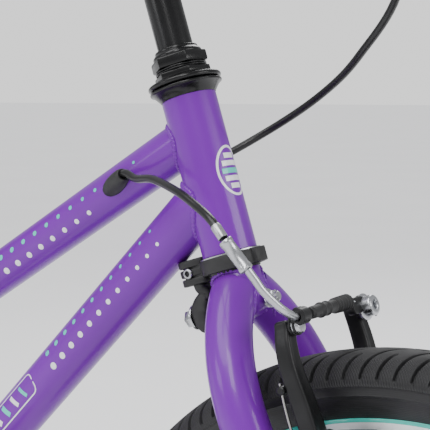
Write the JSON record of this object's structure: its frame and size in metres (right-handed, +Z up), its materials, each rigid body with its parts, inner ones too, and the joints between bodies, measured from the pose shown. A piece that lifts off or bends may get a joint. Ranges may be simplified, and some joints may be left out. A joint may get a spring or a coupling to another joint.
{
  "type": "childrens single-speed bicycle",
  "caption": "Kids' 20-inch single-speed bike: purple steel frame and fork, wire-spoked wheels, street tyres, quill stem, linked rim brakes and padded saddle.",
  "frame": {"origin": "on the ground, midway between the two wheel axles, in the bike's middle plane", "axes": "+X forward, +Y to the rider's left, +Z up"},
  "size_m": [1.3332, 0.5946, 0.8528],
  "materials": {
    "purple_paint": "gloss purple paint with small round decor dots",
    "badge": null,
    "black_steel": "black finished steel",
    "black_paint": "gloss black paint",
    "zinc_steel": "bright zinc",
    "chain_steel": "oiled steel",
    "black_plastic": "matt black moulding",
    "soft_rubber": "soft black rubber",
    "cable_housing": "smooth black cable housing",
    "black_alloy": "black anodised alloy",
    "grey_alloy": "dark satin alloy",
    "tyre": "street tread",
    "inner_tube": "butyl",
    "silver_rim": "machined alloy with a thin teal line at its edge",
    "spoke_steel": "drawn steel wire",
    "saddle_cover": "black vinyl cover over foam",
    "brake_pad": "grey brake block"
  },
  "bodies": {
    "frame": {"head_tube": "purple_paint", "top_tube": "purple_paint", "down_tube": "purple_paint", "seat_tube": "purple_paint", "bottom_bracket_shell": "purple_paint", "chainstays": "purple_paint", "seatstays": "purple_paint", "head_badge": "badge", "headset_cups": "black_steel", "headset_bearings": "zinc_steel", "limiter_clamp": "black_plastic", "limiter_strap": "soft_rubber", "cable_ports": "black_plastic", "seat_collar": "black_steel", "bottom_bracket_cups": "zinc_steel", "rear_axle": "zinc_steel", "chain": "chain_steel", "lever_cable": "cable_housing", "front_cable": "cable_housing"},
    "steering": {"fork_steerer": "black_steel", "fork_legs": "purple_paint", "crown_race": "black_steel", "adjusting_race": "black_steel", "lock_washer": "black_steel", "locknut": "black_steel", "limiter_bolt": "zinc_steel", "stem": "black_steel", "stem_bolts": "zinc_steel", "handlebar": "black_paint", "grips": "soft_rubber", "lever_bracket": "black_alloy", "front_axle": "zinc_steel"},
    "brake_lever": {"brake_lever": "black_alloy"},
    "front_wheel": {"front_tyre": "tyre", "front_tube": "inner_tube", "front_rim": "silver_rim", "front_spokes": "spoke_steel", "front_hub": "black_alloy"},
    "rear_wheel": {"rear_tyre": "tyre", "rear_tube": "inner_tube", "rear_rim": "silver_rim", "rear_spokes": "spoke_steel", "rear_hub": "black_alloy"},
    "freewheel": {"freewheel": "chain_steel"},
    "crank": {"crank_spindle": "zinc_steel", "crank_arms": "black_alloy", "chainring": "black_steel", "pedal_axles": "zinc_steel"},
    "right_pedal": {"right_pedal": "black_plastic"},
    "left_pedal": {"left_pedal": "black_plastic"},
    "seat": {"seatpost": "black_alloy", "saddle_rails": "black_steel", "saddle_base": "black_plastic", "saddle_pad": "saddle_cover"},
    "front_brake_right": {"front_arm_right": "grey_alloy", "front_pad_right": "brake_pad"},
    "front_brake_left": {"front_arm_left": "grey_alloy", "front_pad_left": "brake_pad"},
    "rear_brake_right": {"rear_arm_right": "grey_alloy"},
    "rear_brake_left": {"rear_arm_left": "grey_alloy"}
  },
  "joints": [
    {"name": "steering_turn", "type": "hinge", "parent": "frame", "child": "steering", "pos_m": [0.26006, 0, 0.63204], "axis": [-0.309, 0, 0.9511], "range_deg": [-50, 50], "stiffness_Nm_per_rad": 1.5, "deforming": ["limiter_strap", "lever_cable", "front_cable"]},
    {"name": "lever_pull", "type": "hinge", "parent": "steering", "child": "brake_lever", "pos_m": [0.27551, -0.18168, 0.83254], "axis": [-0.0049, -0.0246, -0.9997], "range_deg": [0, 12], "stiffness_Nm_per_rad": 1},
    {"name": "front_wheel_spin", "type": "hinge", "parent": "steering", "child": "front_wheel", "pos_m": [0.42, 0, 0.2466], "axis": [0, 1, 0], "continuous": true},
    {"name": "rear_wheel_spin", "type": "hinge", "parent": "frame", "child": "rear_wheel", "pos_m": [-0.42, 0, 0.2466], "axis": [0, 1, 0], "continuous": true},
    {"name": "crank_spin", "type": "hinge", "parent": "frame", "child": "crank", "pos_m": [-0.05318, 0, 0.24], "axis": [0, 1, 0], "continuous": true, "deforming": ["chain"]},
    {"name": "freewheel_spin", "type": "hinge", "parent": "frame", "child": "freewheel", "pos_m": [-0.42, 0, 0.2466], "axis": [0, 1, 0], "continuous": true},
    {"name": "right_pedal_spin", "type": "hinge", "parent": "crank", "child": "right_pedal", "pos_m": [0.07382, -0.11, 0.24], "axis": [0, 1, 0], "continuous": true},
    {"name": "left_pedal_spin", "type": "hinge", "parent": "crank", "child": "left_pedal", "pos_m": [-0.18018, 0.11, 0.24], "axis": [0, 1, 0], "continuous": true},
    {"name": "seat_height", "type": "slide", "parent": "frame", "child": "seat", "axis": [-0.309, 0, 0.9511], "range_m": [-0.04, 0.06]},
    {"name": "front_right_arm", "type": "hinge", "parent": "steering", "child": "front_brake_right", "pos_m": [0.36561, -0.04, 0.41399], "axis": [-0.9511, 0, -0.309], "range_deg": [0, 2.6]},
    {"name": "front_left_arm", "type": "hinge", "parent": "steering", "child": "front_brake_left", "pos_m": [0.36561, 0.04, 0.41399], "axis": [0.9511, 0, 0.309], "range_deg": [0, 2.6]},
    {"name": "rear_right_arm", "type": "hinge", "parent": "frame", "child": "rear_brake_right", "pos_m": [-0.27215, -0.04, 0.34208], "axis": [-0.5425, 0, 0.8401], "range_deg": [0, 2.6]},
    {"name": "rear_left_arm", "type": "hinge", "parent": "frame", "child": "rear_brake_left", "pos_m": [-0.27215, 0.04, 0.34208], "axis": [0.5425, 0, -0.8401], "range_deg": [0, 2.6]}
  ],
  "couplings": [
    {"joint": "freewheel_spin", "follows": "crank_spin", "ratio": 2},
    {"joint": "front_right_arm", "follows": "lever_pull", "ratio": 0.21},
    {"joint": "front_left_arm", "follows": "lever_pull", "ratio": 0.21},
    {"joint": "rear_right_arm", "follows": "lever_pull", "ratio": 0.21},
    {"joint": "rear_left_arm", "follows": "lever_pull", "ratio": 0.21}
  ]
}
